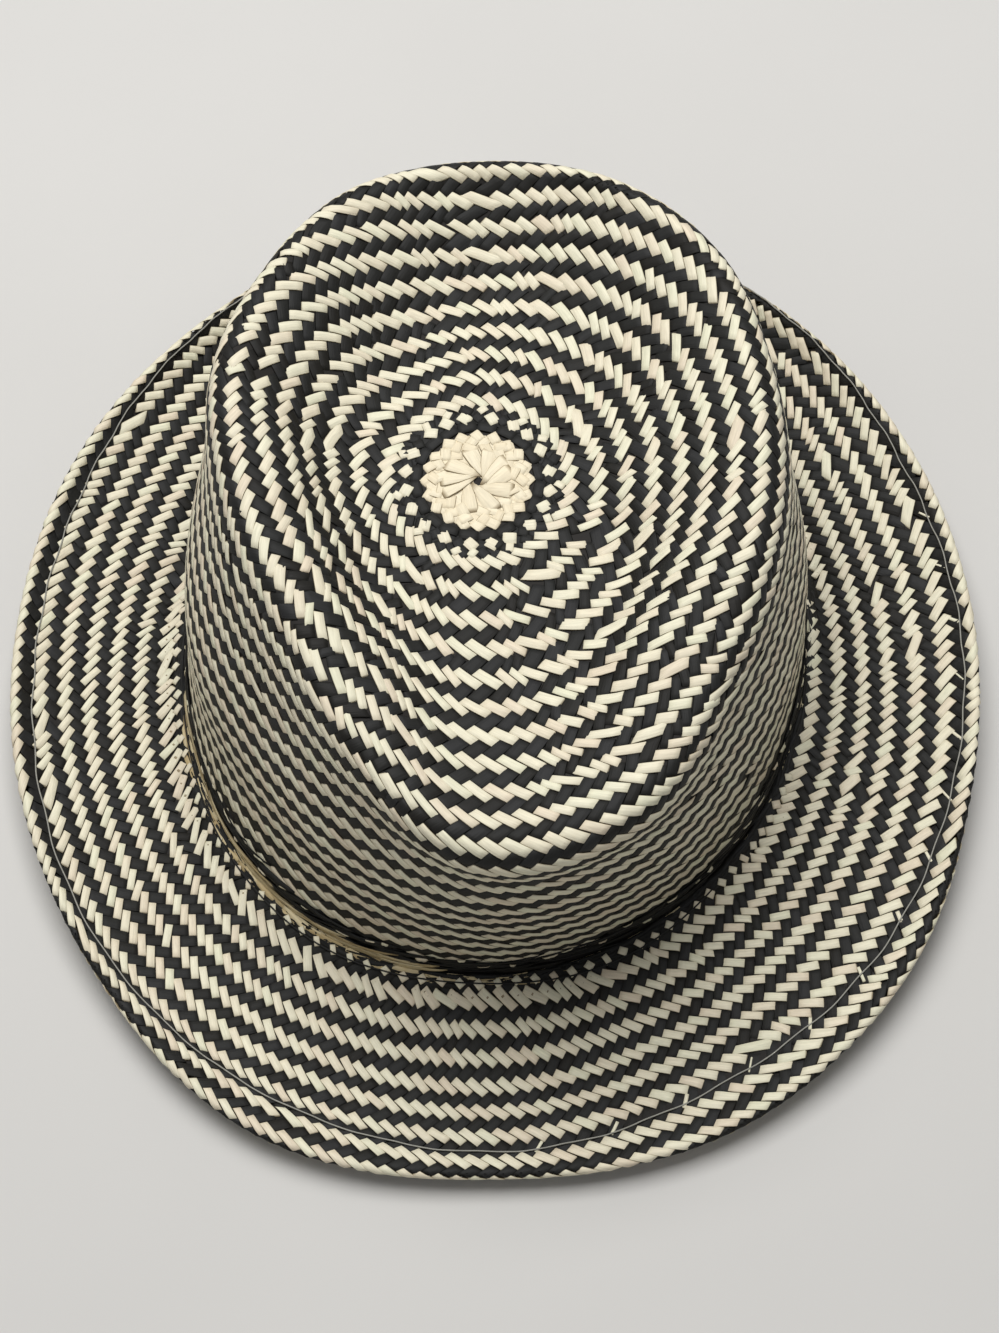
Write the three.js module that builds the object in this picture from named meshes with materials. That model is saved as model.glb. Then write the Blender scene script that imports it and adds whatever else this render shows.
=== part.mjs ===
// Straw fedora: a hollow crown with a dished teardrop top, a brim that curls up
// at its sides and back and ends in a folded hem, and one flat straw laid round
// the crown's foot. Millimetres, +Z up, the wearer's front towards -Y. The hat
// rests at z = 0 on the flat underside of the fold between crown and brim.
import * as THREE from 'three';

// Driving dimensions
const WALL = 2;              // woven straw
const HEM_WALL = 3;          // the edge, where the brim is folded on itself
const HEM_SHARE = 0.16;      // share of the brim's width that the folded edge takes
const GAP = 0.3;             // clearance between neighbouring pieces
const MARGIN = 5;            // flat part of the brim outside the crown's foot
const STRAND_WIDTH = 2.8;    // straw round the foot of the crown
const STRAND_RISE = 1.6;     // it leans against the crown
const FOOT_FLARE = 0.6;      // the crown's foot spreads by this much
const CROWN_FOOT_Z = WALL + GAP;
const WAIST_Z = 50;

// The crown's middle, where the weaving starts, lies a little left of the axis
const BUTTON = { x: -5.5, y: 2, z: 84 };

// How finely the surfaces are divided
const AROUND = 60;
const CROWN_STEPS = [2, 2, 3, 3, 2, 2, 2, 2, 1, 1];
const BRIM_STEPS = 2;

// One row per section, from the front round towards +X, with radii from the
// middle of the button (dish, lip and crest) or from the axis (the others):
// the dish's floor, the lip inside the crest, the crest, the wall at its waist
// and at its foot, the brim's edge, half way out on the brim and at its edge
const COLUMNS = ['dishR', 'dishZ', 'lipR', 'lipZ', 'crestR', 'crestZ', 'waistR', 'footR',
  'brimR', 'brimMidZ', 'edgeZ'];
const SECTIONS = [
  [60, 85, 86, 87, 99.5, 88, 102, 102, 158, 3, 8],        // front
  [54, 85, 74, 89, 96.5, 90, 98, 97.5, 158, 3.5, 9],
  [47, 85, 62, 94, 80.5, 95, 89, 92, 150, 4, 12],
  [40, 85, 60, 97, 73.5, 99, 83, 87, 138, 5, 15],
  [30, 84.5, 61, 98, 71.5, 101, 82, 86, 131, 6, 16],      // wearer's left side
  [34, 84, 66, 98.5, 75, 101, 82, 87, 128, 6, 16],
  [44, 82, 75, 96, 84, 99, 87, 92, 127, 6, 17],
  [55, 81, 83, 92, 90, 96, 93, 97, 127, 6, 18],
  [60, 80, 84, 89, 91, 93, 96, 100, 127, 6, 18],          // back
  [48, 81, 77, 92, 87, 95, 94, 98, 127, 6, 18],
  [38, 83, 67, 96, 76, 98, 88, 93, 127, 6, 17],
  [36, 84, 60, 97, 69, 99, 84, 88, 130, 6, 16],
  [35, 85, 48, 97, 61, 99.5, 83, 87, 133, 6, 16],         // wearer's right side
  [31, 84, 48, 96, 59, 99, 85, 91, 140, 5, 15],
  [37, 84, 52, 95, 63, 97, 87, 97.5, 149, 4, 12],
  [43, 84, 62, 92, 79, 93, 95, 102, 160, 3.5, 9],
];

const CREAM = 0xe6ddbb;
const WOVEN_MIX = 0x8c887c;

// Catmull-Rom value between b and c
function between(a, b, c, d, t) {
  const slope = c - a;
  const bend = 2 * a - 5 * b + 4 * c - d;
  const twist = 3 * b - a - 3 * c + d;
  return b + 0.5 * t * (slope + t * (bend + t * twist));
}

// The table's row at any angle, 0 to 1 round the hat
function sectionAt(turn) {
  const place = turn * SECTIONS.length;
  const row = Math.floor(place);
  const near = [-1, 0, 1, 2].map((k) => SECTIONS[(row + k + SECTIONS.length) % SECTIONS.length]);
  return Object.fromEntries(COLUMNS.map((name, column) =>
    [name, between(...near.map((values) => values[column]), place - row)]));
}

// A point at radius r in the direction of the turn; pull draws it from the axis
// towards the button
function pointAt(turn, r, z, pull = 0) {
  const angle = turn * 2 * Math.PI;
  return new THREE.Vector3(
    BUTTON.x * pull + r * Math.sin(angle), BUTTON.y * pull - r * Math.cos(angle), z);
}

// A smooth line through the points, with the given steps between each pair
function smoothLine(points, steps, before) {
  const last = points.length - 1;
  const ends = [before, ...points, points[last].clone().multiplyScalar(2).sub(points[last - 1])];
  const line = [];
  for (let k = 0; k < last; k += 1) {
    const [a, b, c, d] = ends.slice(k, k + 4);
    for (let s = 0; s < steps[k]; s += 1) {
      const t = s / steps[k];
      line.push(new THREE.Vector3(
        between(a.x, b.x, c.x, d.x, t), between(a.y, b.y, c.y, d.y, t),
        between(a.z, b.z, c.z, d.z, t)));
    }
  }
  line.push(points[last].clone());
  return line;
}

// The crown's outer face along one direction, from the button down to the foot
function crownLine(turn) {
  const s = sectionAt(turn);
  const points = [
    pointAt(turn, 0, BUTTON.z, 1),
    pointAt(turn, 0.42 * s.dishR, BUTTON.z, 1),
    pointAt(turn, s.dishR, s.dishZ, 1),
    pointAt(turn, s.lipR, s.lipZ, 1),
    pointAt(turn, s.crestR, s.crestZ, 1),
    pointAt(turn, s.crestR + 4.5 + 0.08 * (s.waistR - s.crestR), s.crestZ - 6.5, 0.85),
    pointAt(turn, 0.5 * (s.crestR + s.waistR) + 1.5, 0.62 * s.crestZ + 15, 0.45),
    pointAt(turn, s.waistR, WAIST_Z, 0.05),
    pointAt(turn, 0.5 * (s.waistR + s.footR), 0.5 * WAIST_Z),
    pointAt(turn, s.footR, 9),
    pointAt(turn, s.footR + FOOT_FLARE, CROWN_FOOT_Z),
  ];
  const acrossButton = pointAt(turn + 0.5, 0.42 * s.dishR, BUTTON.z, 1);
  return smoothLine(points, CROWN_STEPS, acrossButton);
}

// The brim's upper face from the end of its flat margin to its edge
function brimLine(turn) {
  const s = sectionAt(turn);
  const width = s.brimR - s.footR;
  const rise = s.edgeZ - s.brimMidZ;
  const points = [
    pointAt(turn, s.footR + MARGIN, WALL),
    pointAt(turn, s.footR + 0.3 * width, 0.35 * WALL + 0.65 * s.brimMidZ),
    pointAt(turn, s.footR + 0.6 * width, s.brimMidZ + 0.22 * rise),
    pointAt(turn, s.footR + (1 - HEM_SHARE) * width, s.brimMidZ + 0.6 * rise),
    pointAt(turn, s.brimR - 0.5 * HEM_WALL, s.edgeZ),
  ];
  const margin = pointAt(turn, s.footR, WALL);
  return smoothLine(points, points.map(() => BRIM_STEPS), margin);
}

// rows[j][i]: point i of row j, each row going once round the hat
function rowsOf(lineAt) {
  const lines = Array.from({ length: AROUND }, (_, i) => lineAt(i / AROUND));
  return lines[0].map((_, j) => lines.map((line) => line[j]));
}

// The rows moved off their face by a depth that each row names
function rowsBehind(rows, depthOf) {
  return rows.map((row, j) => row.map((point, i) => {
    const along = rows[Math.min(j + 1, rows.length - 1)][i].clone()
      .sub(rows[Math.max(j - 1, 0)][i]);
    const round = row[(i + 1) % AROUND].clone().sub(row[(i + AROUND - 1) % AROUND]);
    const out = along.cross(round).normalize();
    return point.clone().addScaledVector(out, -depthOf(j));
  }));
}

// A closed body skinned over rows that run out over its upper face and back
// under it. A row of one point closes an end; without one the last row joins
// the first.
function skin(rows) {
  const positions = rows.flat().flatMap((point) => point.toArray());
  const starts = [];
  let count = 0;
  for (const row of rows) {
    starts.push(count);
    count += row.length;
  }
  const vertex = (j, i) => starts[j] + (i % rows[j].length);
  const indices = [];
  const ring = rows[0].length > 1;
  const bands = ring ? rows.length : rows.length - 1;
  for (let j = 0; j < bands; j += 1) {
    const next = (j + 1) % rows.length;
    for (let i = 0; i < AROUND; i += 1) {
      const [a, b, c, d] = [vertex(j, i), vertex(next, i), vertex(next, i + 1), vertex(j, i + 1)];
      if (b !== c) indices.push(a, b, c);
      if (a !== d) indices.push(a, c, d);
    }
  }
  const geometry = new THREE.BufferGeometry();
  geometry.setAttribute('position', new THREE.Float32BufferAttribute(positions, 3));
  geometry.setIndex(indices);
  geometry.computeVertexNormals();
  return geometry;
}

function crown() {
  const outer = rowsOf(crownLine).slice(1);
  const inner = rowsBehind(outer, () => WALL);
  const foot = inner.length - 1;
  inner[foot].forEach((point) => { point.z = CROWN_FOOT_Z; });
  const top = new THREE.Vector3(BUTTON.x, BUTTON.y, BUTTON.z);
  const ceiling = new THREE.Vector3(BUTTON.x, BUTTON.y, BUTTON.z - WALL);
  return skin([[top], ...outer, ...inner.reverse(), [ceiling]]);
}

function brim() {
  const upper = rowsOf(brimLine);
  const edge = upper.length - 1;
  const under = rowsBehind(upper, (j) => (j > edge - BRIM_STEPS ? HEM_WALL : WALL));
  under[0].forEach((point) => { point.z = 0; });
  const rim = upper[edge].map((point, i) => {
    const middle = point.clone().add(under[edge][i]).multiplyScalar(0.5);
    const angle = i / AROUND * 2 * Math.PI;
    middle.x += 0.5 * HEM_WALL * Math.sin(angle);
    middle.y -= 0.5 * HEM_WALL * Math.cos(angle);
    return middle;
  });
  const mouth = (z) => rowsOf((turn) => [pointAt(turn, sectionAt(turn).footR - WALL, z)])[0];
  return skin([mouth(WALL), ...upper, rim, ...under.reverse(), mouth(0)]);
}

function baseStrand() {
  const inside = FOOT_FLARE + 1.5 * GAP;
  const outline = [[0, STRAND_RISE], [0.5, STRAND_RISE], [STRAND_WIDTH, 0.7], [STRAND_WIDTH, 0],
    [0, 0]];
  return skin(rowsOf((turn) => outline.map(([out, up]) =>
    pointAt(turn, sectionAt(turn).footR + inside + out, CROWN_FOOT_Z + up))));
}

function piece(name, geometry, color) {
  const material = new THREE.MeshStandardMaterial({ color, roughness: 0.6, metalness: 0 });
  const mesh = new THREE.Mesh(geometry, material);
  mesh.name = name;
  return mesh;
}

const hat = new THREE.Group();
hat.add(piece('crown', crown(), WOVEN_MIX));
hat.add(piece('brim', brim(), WOVEN_MIX));
hat.add(piece('base_strand', baseStrand(), CREAM));

// The origin is under the middle of the whole hat
const middle = new THREE.Box3().setFromObject(hat).getCenter(new THREE.Vector3());
hat.children.forEach((mesh) => mesh.position.set(-middle.x, -middle.y, 0));

export default hat;
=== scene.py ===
"""A straw fedora woven in rings of cream and black palm straw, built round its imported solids.

Sizes are in millimetres until a mesh is made, and Blender's are in metres. +Z is up, the
wearer's front is towards -Y, and a turn of 0 to 1 goes once round the hat from the front
towards +X. The weaving is a 2/2 twill on the bias: undyed straws run one way, dyed ones the
other, and their floats line up in rings, so half a ring further out the colour changes.
"""
import math

import bpy
import numpy as np
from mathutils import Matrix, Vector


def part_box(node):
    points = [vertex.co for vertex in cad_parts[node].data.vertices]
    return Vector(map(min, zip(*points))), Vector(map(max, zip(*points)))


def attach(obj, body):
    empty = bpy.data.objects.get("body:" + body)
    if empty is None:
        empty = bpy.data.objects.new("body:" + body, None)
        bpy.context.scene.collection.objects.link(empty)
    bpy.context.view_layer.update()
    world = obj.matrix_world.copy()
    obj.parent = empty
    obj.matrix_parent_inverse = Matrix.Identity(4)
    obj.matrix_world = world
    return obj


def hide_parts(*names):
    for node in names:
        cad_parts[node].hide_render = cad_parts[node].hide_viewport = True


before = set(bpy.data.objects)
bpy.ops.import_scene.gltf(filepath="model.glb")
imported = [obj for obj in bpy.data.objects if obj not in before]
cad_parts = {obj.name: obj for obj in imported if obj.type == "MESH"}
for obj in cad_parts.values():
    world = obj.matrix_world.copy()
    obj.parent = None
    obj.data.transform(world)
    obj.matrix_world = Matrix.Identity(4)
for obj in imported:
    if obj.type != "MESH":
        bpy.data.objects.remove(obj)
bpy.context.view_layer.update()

MM = 0.001
FULL = 2 * math.pi

# Form of the hat, with the same sizes as the solids

WALL = 2.0                   # woven straw
HEM_WALL = 3.0               # the edge, where the brim is folded on itself
HEM_SHARE = 0.16             # share of the brim's width that the folded edge takes
GAP = 0.3
MARGIN = 5.0                 # flat part of the brim outside the crown's foot
STRAND_WIDTH = 2.8
STRAND_RISE = 1.6
FOOT_FLARE = 0.6
WAIST_Z = 50.0
BUTTON = np.array([-5.5, 2.0, 84.0])
FOLD_IN = 8.0                # how far the brim's lines start inside the crown's foot

# One row per section from the front round towards +X: the dish's floor, the lip inside the
# crest, the crest, the wall at its waist and foot, the brim's edge, half way out on the brim
# and at its edge
COLUMNS = ("dish_r", "dish_z", "lip_r", "lip_z", "crest_r", "crest_z", "waist_r", "foot_r",
           "brim_r", "mid_z", "edge_z")
SECTIONS = np.array([
    (60, 85, 86, 87, 99.5, 88, 102, 102, 158, 3, 8),        # front
    (54, 85, 74, 89, 96.5, 90, 98, 97.5, 158, 3.5, 9),
    (47, 85, 62, 94, 80.5, 95, 89, 92, 150, 4, 12),
    (40, 85, 60, 97, 73.5, 99, 83, 87, 138, 5, 15),
    (30, 84.5, 61, 98, 71.5, 101, 82, 86, 131, 6, 16),      # wearer's left side
    (34, 84, 66, 98.5, 75, 101, 82, 87, 128, 6, 16),
    (44, 82, 75, 96, 84, 99, 87, 92, 127, 6, 17),
    (55, 81, 83, 92, 90, 96, 93, 97, 127, 6, 18),
    (60, 80, 84, 89, 91, 93, 96, 100, 127, 6, 18),          # back
    (48, 81, 77, 92, 87, 95, 94, 98, 127, 6, 18),
    (38, 83, 67, 96, 76, 98, 88, 93, 127, 6, 17),
    (36, 84, 60, 97, 69, 99, 84, 88, 130, 6, 16),
    (35, 85, 48, 97, 61, 99.5, 83, 87, 133, 6, 16),         # wearer's right side
    (31, 84, 48, 96, 59, 99, 85, 91, 140, 5, 15),
    (37, 84, 52, 95, 63, 97, 87, 97.5, 149, 4, 12),
    (43, 84, 62, 92, 79, 93, 95, 102, 160, 3.5, 9),
])

# Where the weaving's rings lie in the same sections: on the crown the number of the ring at
# the dish's floor, the lip, the crest, the waist and the foot, and on the brim the distance
# of its rings 1, 4, 6 and 7 from the crown's foot
CROWN_POINTS = (2, 3, 4, 7, 10)
BRIM_MARKS = (1, 4, 6, 7)
RINGS = np.array([
    (5.5, 8.95, 10.8, 15.9, 23.2, 7.3, 31.6, 45.1, 52.3),
    (4.75, 7.3, 10.6, 16.65, 22.7, 8.3, 30.1, 43.6, 51.9),
    (4.1, 6.4, 9.0, 17.2, 22.0, 7.0, 28.8, 44.9, 53.8),
    (3.25, 6.4, 8.3, 16.6, 21.9, 5.0, 27.1, 42.6, 51.4),
    (1.9, 6.5, 8.1, 15.9, 21.7, 2.3, 22.3, 38.4, 47.8),
    (2.4, 7.0, 8.3, 15.6, 21.5, -2.0, 20.5, 35.3, 44.4),
    (3.5, 7.6, 8.8, 15.6, 21.5, -3.0, 20.5, 34.5, 41.5),
    (4.8, 8.5, 9.6, 16.0, 22.0, -4.0, 18.5, 32.5, 39.5),
    (5.7, 9.2, 10.3, 16.2, 22.0, -5.5, 17.0, 31.0, 38.0),
    (4.3, 8.1, 9.5, 16.0, 22.0, -4.5, 18.0, 32.0, 39.0),
    (2.75, 6.6, 7.8, 14.9, 21.0, -4.0, 18.6, 33.0, 39.5),
    (2.5, 6.15, 7.4, 14.4, 20.8, 0.0, 22.6, 36.6, 43.8),
    (2.75, 5.3, 7.2, 14.6, 21.2, 6.2, 26.6, 41.0, 48.8),
    (2.3, 5.55, 7.0, 15.3, 22.0, 7.3, 29.4, 42.4, 51.0),
    (3.2, 6.05, 7.4, 15.3, 22.0, 8.7, 30.5, 44.8, 49.8),
    (3.7, 6.8, 9.15, 15.6, 22.6, 9.2, 31.7, 45.3, 49.9),
])
RING_1 = 23.5                # radius of the first cream ring round the button
BUTTON_PITCH = 7.6           # of the rings inside the first
FOOT_PITCH = 5.4             # the rings crowd at the crown's foot
HEM_PITCH = 6.5              # of the rings past the seventh
CROWN_LAST = 25
BRIM_FIRST = -1
BRIM_LAST = 10
# Distance between neighbouring straws of a ring, by the number of the ring
CROWN_SPACING = ((1, 2, 4, 6, 9, 10, 12, 18), (3.85, 3.7, 4.1, 4.3, 4.4, 4.6, 4.95, 5.2))
BRIM_SPACING = ((0, 1, 2, 3, 4, 5, 6, 7), (3.9, 3.7, 3.4, 3.62, 3.82, 4.05, 4.3, 4.6))
LEAN = -0.19                 # floats by which the rings slip on each other, each half ring
GRID = 12                    # rows of a sheet per ring
COLUMNS_ROUND = 480
LAP = 24                     # columns that a sheet overlaps itself by


def between(a, b, c, d, t):
    """Catmull-Rom value between b and c."""
    slope = c - a
    bend = 2 * a - 5 * b + 4 * c - d
    twist = 3 * b - a - 3 * c + d
    return b + 0.5 * t * (slope + t * (bend + t * twist))


def rows_at(table, turns):
    """The table's columns at any turns."""
    place = (turns % 1.0) * len(table)
    row = np.floor(place).astype(int)
    near = [table[(row + k) % len(table)] for k in (-1, 0, 1, 2)]
    return between(*near, (place - row)[:, None]).T


def sections_at(turns):
    return dict(zip(COLUMNS, rows_at(SECTIONS, turns)))


def place_at(turns, r, z, pull=0.0):
    """Points at radius r in the direction of each turn; pull draws them towards the button."""
    angle = FULL * turns
    x = BUTTON[0] * pull + r * np.sin(angle)
    y = BUTTON[1] * pull - r * np.cos(angle)
    return np.stack([x, y, z + 0 * angle], axis=-1) + AXIS


def strand_radius(s):
    """The inner side of the straw round the foot."""
    return s["foot_r"] + FOOT_FLARE + 1.5 * GAP


# The sections' axis lies a little off the middle of the hat: the straw round the foot tells
AXIS = np.zeros(3)
_turns = np.arange(60) / 60
_ring = place_at(_turns, strand_radius(sections_at(_turns)) + STRAND_WIDTH, 0.0)
_low, _high = (np.array(corner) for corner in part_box("base_strand"))
AXIS[:2] = 0.5 * (_low + _high)[:2] / MM - 0.5 * (_ring.min(axis=0) + _ring.max(axis=0))[:2]


def smooth_line(points, before, steps):
    """Lines through the points of all turns, with so many steps between each pair."""
    ends = [before, *points, 2 * points[-1] - points[-2]]
    line = [between(*ends[k:k + 4], s / steps) for k in range(len(points) - 1) for s in range(steps)]
    return np.array(line + [points[-1]])


LINE_STEPS = 12
FOOT = 10 * LINE_STEPS       # the foot's place on a line of the crown


def crown_lines(turns):
    """The crown's outer face from the button to the foot, and on round the fold."""
    s = sections_at(turns)
    foot, waist, crest = s["foot_r"], s["waist_r"], s["crest_r"]
    points = [
        place_at(turns, 0.0, BUTTON[2], 1),
        place_at(turns, 0.42 * s["dish_r"], BUTTON[2], 1),
        place_at(turns, s["dish_r"], s["dish_z"], 1),
        place_at(turns, s["lip_r"], s["lip_z"], 1),
        place_at(turns, crest, s["crest_z"], 1),
        place_at(turns, crest + 4.5 + 0.08 * (waist - crest), s["crest_z"] - 6.5, 0.85),
        place_at(turns, 0.5 * (crest + waist) + 1.5, 0.62 * s["crest_z"] + 15, 0.45),
        place_at(turns, waist, WAIST_Z, 0.05),
        place_at(turns, 0.5 * (waist + foot), 0.5 * WAIST_Z),
        place_at(turns, foot, 9.0),
        place_at(turns, foot + 0.7 * FOOT_FLARE, 4.6),
        place_at(turns, foot + 2.3, WALL + 0.4),
        place_at(turns, foot + 7.0, WALL),
    ]
    across_button = place_at(turns + 0.5, 0.42 * sections_at(turns + 0.5)["dish_r"], BUTTON[2], 1)
    return smooth_line(points, across_button, LINE_STEPS)


def brim_lines(turns):
    """The brim's upper face from under the crown's foot to its edge."""
    s = sections_at(turns)
    foot = s["foot_r"]
    width = s["brim_r"] - foot
    rise = s["edge_z"] - s["mid_z"]
    points = [
        place_at(turns, foot - FOLD_IN, WALL),
        place_at(turns, foot, WALL),
        place_at(turns, foot + MARGIN, WALL),
        place_at(turns, foot + 0.3 * width, 0.35 * WALL + 0.65 * s["mid_z"]),
        place_at(turns, foot + 0.6 * width, s["mid_z"] + 0.22 * rise),
        place_at(turns, foot + (1 - HEM_SHARE) * width, s["mid_z"] + 0.6 * rise),
        place_at(turns, s["brim_r"] - 0.5 * HEM_WALL, s["edge_z"]),
    ]
    return smooth_line(points, place_at(turns, foot - 2 * FOLD_IN, WALL), LINE_STEPS)


def outward(grid):
    """Unit normals of a grid of points, rows running outwards and columns round the hat."""
    normal = np.cross(np.gradient(grid, axis=0), np.gradient(grid, axis=1))
    return normal / np.maximum(np.linalg.norm(normal, axis=-1, keepdims=True), 1e-9)


def arc_along(lines):
    """Length along each line, from its first point."""
    steps = np.linalg.norm(np.diff(lines, axis=0), axis=-1)
    return np.vstack([np.zeros(lines.shape[1]), np.cumsum(steps, axis=0)])


# Sheets: faces of the hat with the weaving's chart on them


class Sheet:
    """A face of the hat as a grid, its columns over x and its rows over y of a chart."""

    def __init__(self, x, y, points, normals):
        self.x = x
        self.y = y
        self.points = points
        self.normals = normals

    def at(self, x, y):
        """Points of the sheet at chart places."""
        column = np.clip((x - self.x[0]) / (self.x[1] - self.x[0]), 0, len(self.x) - 1.001)
        row = np.clip((y - self.y[0]) / (self.y[1] - self.y[0]), 0, len(self.y) - 1.001)
        r, c = row.astype(int), column.astype(int)
        fr, fc = (row - r)[:, None], (column - c)[:, None]
        near = self.points[r, c] * (1 - fc) + self.points[r, c + 1] * fc
        far = self.points[r + 1, c] * (1 - fc) + self.points[r + 1, c + 1] * fc
        return near * (1 - fr) + far * fr

    def lengths(self, x, y, steps):
        """Length on the sheet of a step in the chart, from each place."""
        return np.linalg.norm(self.at(x + steps[:, 0], y + steps[:, 1]) - self.at(x, y), axis=-1)

    def behind(self, depth):
        """The other face of the same wall."""
        return Sheet(self.x, self.y, self.points - depth * self.normals, -self.normals)


def sheet_turns():
    return np.arange(-LAP, COLUMNS_ROUND + LAP + 1) / COLUMNS_ROUND


def rings_along(arc, marks, numbers, inner, outer):
    """Ring numbers along each line, through the marks, with even pitches before and past them."""
    ring = np.empty_like(arc)
    for column in range(arc.shape[1]):
        at, mark, number = arc[:, column], marks[:, column], numbers[:, column]
        ring[:, column] = (np.interp(at, mark, number) + np.minimum(at - mark[0], 0) / inner[column]
                           + np.maximum(at - mark[-1], 0) / outer)
    return ring


def regrid(lines, ring_of, rings, turns):
    """A sheet with its rows at even ring numbers."""
    points = np.empty((len(rings), lines.shape[1], 3))
    for column in range(lines.shape[1]):
        for k in range(3):
            points[:, column, k] = np.interp(rings, ring_of[:, column], lines[:, column, k])
    return Sheet(turns, rings, points, outward(points))


def crown_sheet():
    turns = sheet_turns()
    lines = crown_lines(turns)
    arc = arc_along(lines)
    first = np.ones(len(turns))
    marks = np.vstack([RING_1 * first, arc[[LINE_STEPS * k for k in CROWN_POINTS]]])
    numbers = np.vstack([first, rows_at(RINGS, turns)[:len(CROWN_POINTS)]])
    ring_of = rings_along(arc, marks, numbers, BUTTON_PITCH * first, FOOT_PITCH)
    rings = np.arange(0, CROWN_LAST * GRID + 1) / GRID
    return regrid(lines, ring_of, rings, turns), ring_of[FOOT]


# How far the brim's straws ride up over the straw round the foot, by distance from the foot
RIDE = ((1.0, 1.6, 3.9, 5.6, 7.0), (2.2, 2.2, 1.6, 0.6, 0.0))
GUTTER = 0.45                # how deep the hem's stitches draw the straws in
STITCHED = 6.5               # the ring that they run on


def brim_sheet():
    """The brim from the foot outwards, round the hem's fold and back under the hem."""
    turns = sheet_turns()
    lines = brim_lines(turns)
    normals = outward(lines)
    out = lines[-1] - lines[-2]
    out /= np.linalg.norm(out, axis=-1, keepdims=True)
    middle = lines[-1] - 0.5 * HEM_WALL * normals[-1]
    fold = [middle + 0.5 * HEM_WALL * (math.cos(a) * normals[-1] + math.sin(a) * out)
            for a in np.linspace(0, math.pi, 9)[1:]]
    under = (lines - HEM_WALL * normals)[-2:-LINE_STEPS - 1:-1]
    whole = np.concatenate([lines, fold, under])
    arc = arc_along(whole)
    arc -= arc[LINE_STEPS]
    marks = rows_at(RINGS, turns)[len(CROWN_POINTS):]
    numbers = np.tile(np.array(BRIM_MARKS, float)[:, None], len(turns))
    first_pitch = (marks[1] - marks[0]) / (numbers[1] - numbers[0])
    ring_of = rings_along(arc, marks, numbers, first_pitch, HEM_PITCH)
    edge = len(lines) - 1
    whole[..., 2] += np.interp(arc, *RIDE)
    dent = GUTTER * np.exp(-((ring_of[:edge] - STITCHED) / 0.16) ** 2)
    whole[:edge] -= dent[..., None] * normals[:edge]
    rings = np.arange(BRIM_FIRST * GRID, BRIM_LAST * GRID + 1) / GRID
    return regrid(whole, ring_of, rings, turns), arc, ring_of, edge


STRAY = 0.12                 # floats by which the places where straws are added stray
EVENED = 0.25                # share of an uneven spacing that half a ring takes up


def slips(sheet, first, last, spacing):
    """How many floats each half ring has passed at each turn, from first to last ring.

    Floats are added or dropped where the straws would get too wide or too narrow for the
    spacing, and what is left uneven eases out over the next rings.
    """
    inside = slice(LAP, LAP + COLUMNS_ROUND + 1)
    turns = sheet.x[inside]
    passed = []
    count = psi = None
    for half in range(2 * first, 2 * last + 1):
        row = int(np.clip((half / 2 - sheet.y[0]) * GRID, 0, len(sheet.y) - 1))
        ring = sheet.points[row, inside]
        length = np.concatenate([[0], np.cumsum(np.linalg.norm(np.diff(ring, axis=0), axis=-1))])
        wanted = round(length[-1] / np.interp(half / 2, *spacing))
        goal = wanted * length / length[-1]
        if psi is None:
            psi = goal
        else:
            lack = goal - psi
            for _ in range(3):
                lack = lack + STRAY * np.sin(FULL * (rng.integers(3, 14) * turns + rng.uniform()))
            steps = np.floor(lack + 0.5)
            gain = wanted - count
            reach = 2 + int(0.8 * COLUMNS_ROUND / wanted)
            padded = np.concatenate([steps[-1 - reach:-1] - gain, steps, steps[1:1 + reach] + gain])
            ease = np.hanning(2 * reach + 1)
            psi = psi + np.convolve(padded, ease / ease.sum(), "same")[reach:-reach]
            psi = psi + EVENED * (goal - psi)
        count = wanted
        passed.append(psi.copy())
    return turns, passed


rng = np.random.default_rng(7)
STRAWS = 97                  # different straws, each with its own tone


def spread(woven_rows, first, undyed, under=False):
    """The floats of one colour on a face: places, directions and numbers of their straws.

    On the outer face the undyed floats lie on even half rings, and the dyed ones, which cross
    them, on odd ones. On the face under it they change places.
    """
    offset, way = (0.0, 1) if undyed else (0.5, -1)
    turns, passed = woven_rows
    rows = []
    for k, psi in enumerate(passed):
        half = 2 * first + k
        if (half % 2 == 0) != (undyed != under):
            continue
        slip = LEAN * k
        count = round(psi[-1] - psi[0])
        number = math.ceil(psi[0] + slip - offset) + np.arange(count)
        turn = np.interp(number + offset - slip, psi, turns)
        rate = np.maximum(np.interp(turn, turns, np.gradient(psi, turns)), 0.5 * count)
        before, after = passed[max(k - 1, 0)], passed[min(k + 1, len(passed) - 1)]
        growth = np.interp(turn, turns, after - before)
        drift = np.clip(growth - np.round(growth), -0.35, 0.35) + 2 * LEAN
        along = np.stack([(0.5 - way * 0.25 * drift) / rate, np.full(count, way * 0.25)], axis=-1)
        across = np.stack([way * (0.25 + way * 0.125 * drift) / rate, np.full(count, -0.125)], axis=-1)
        straw = (number - way * half) % STRAWS
        rows.append((turn, np.full(count, half / 2), along, -across if under else across, straw))
    return [np.concatenate(parts) for parts in zip(*rows)]


# Shared helpers

def linear(code):
    """An sRGB hex value as linear RGBA."""
    parts = [int(code[k:k + 2], 16) / 255 for k in (0, 2, 4)]
    return tuple(c / 12.92 if c <= 0.04045 else ((c + 0.055) / 1.055) ** 2.4 for c in parts) + (1.0,)


def add(tree, kind, settings=None, inputs=None):
    """Adds a node with its settings, and its inputs' values or links."""
    made = tree.nodes.new(kind)
    for name, value in (settings or {}).items():
        setattr(made, name, value)
    for name, value in (inputs or {}).items():
        if isinstance(value, bpy.types.NodeSocket):
            tree.links.new(value, made.inputs[name])
        else:
            made.inputs[name].default_value = value
    return made


def new_object(name, mesh):
    made = bpy.data.objects.new(name, mesh)
    bpy.context.collection.objects.link(made)
    return made


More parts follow.
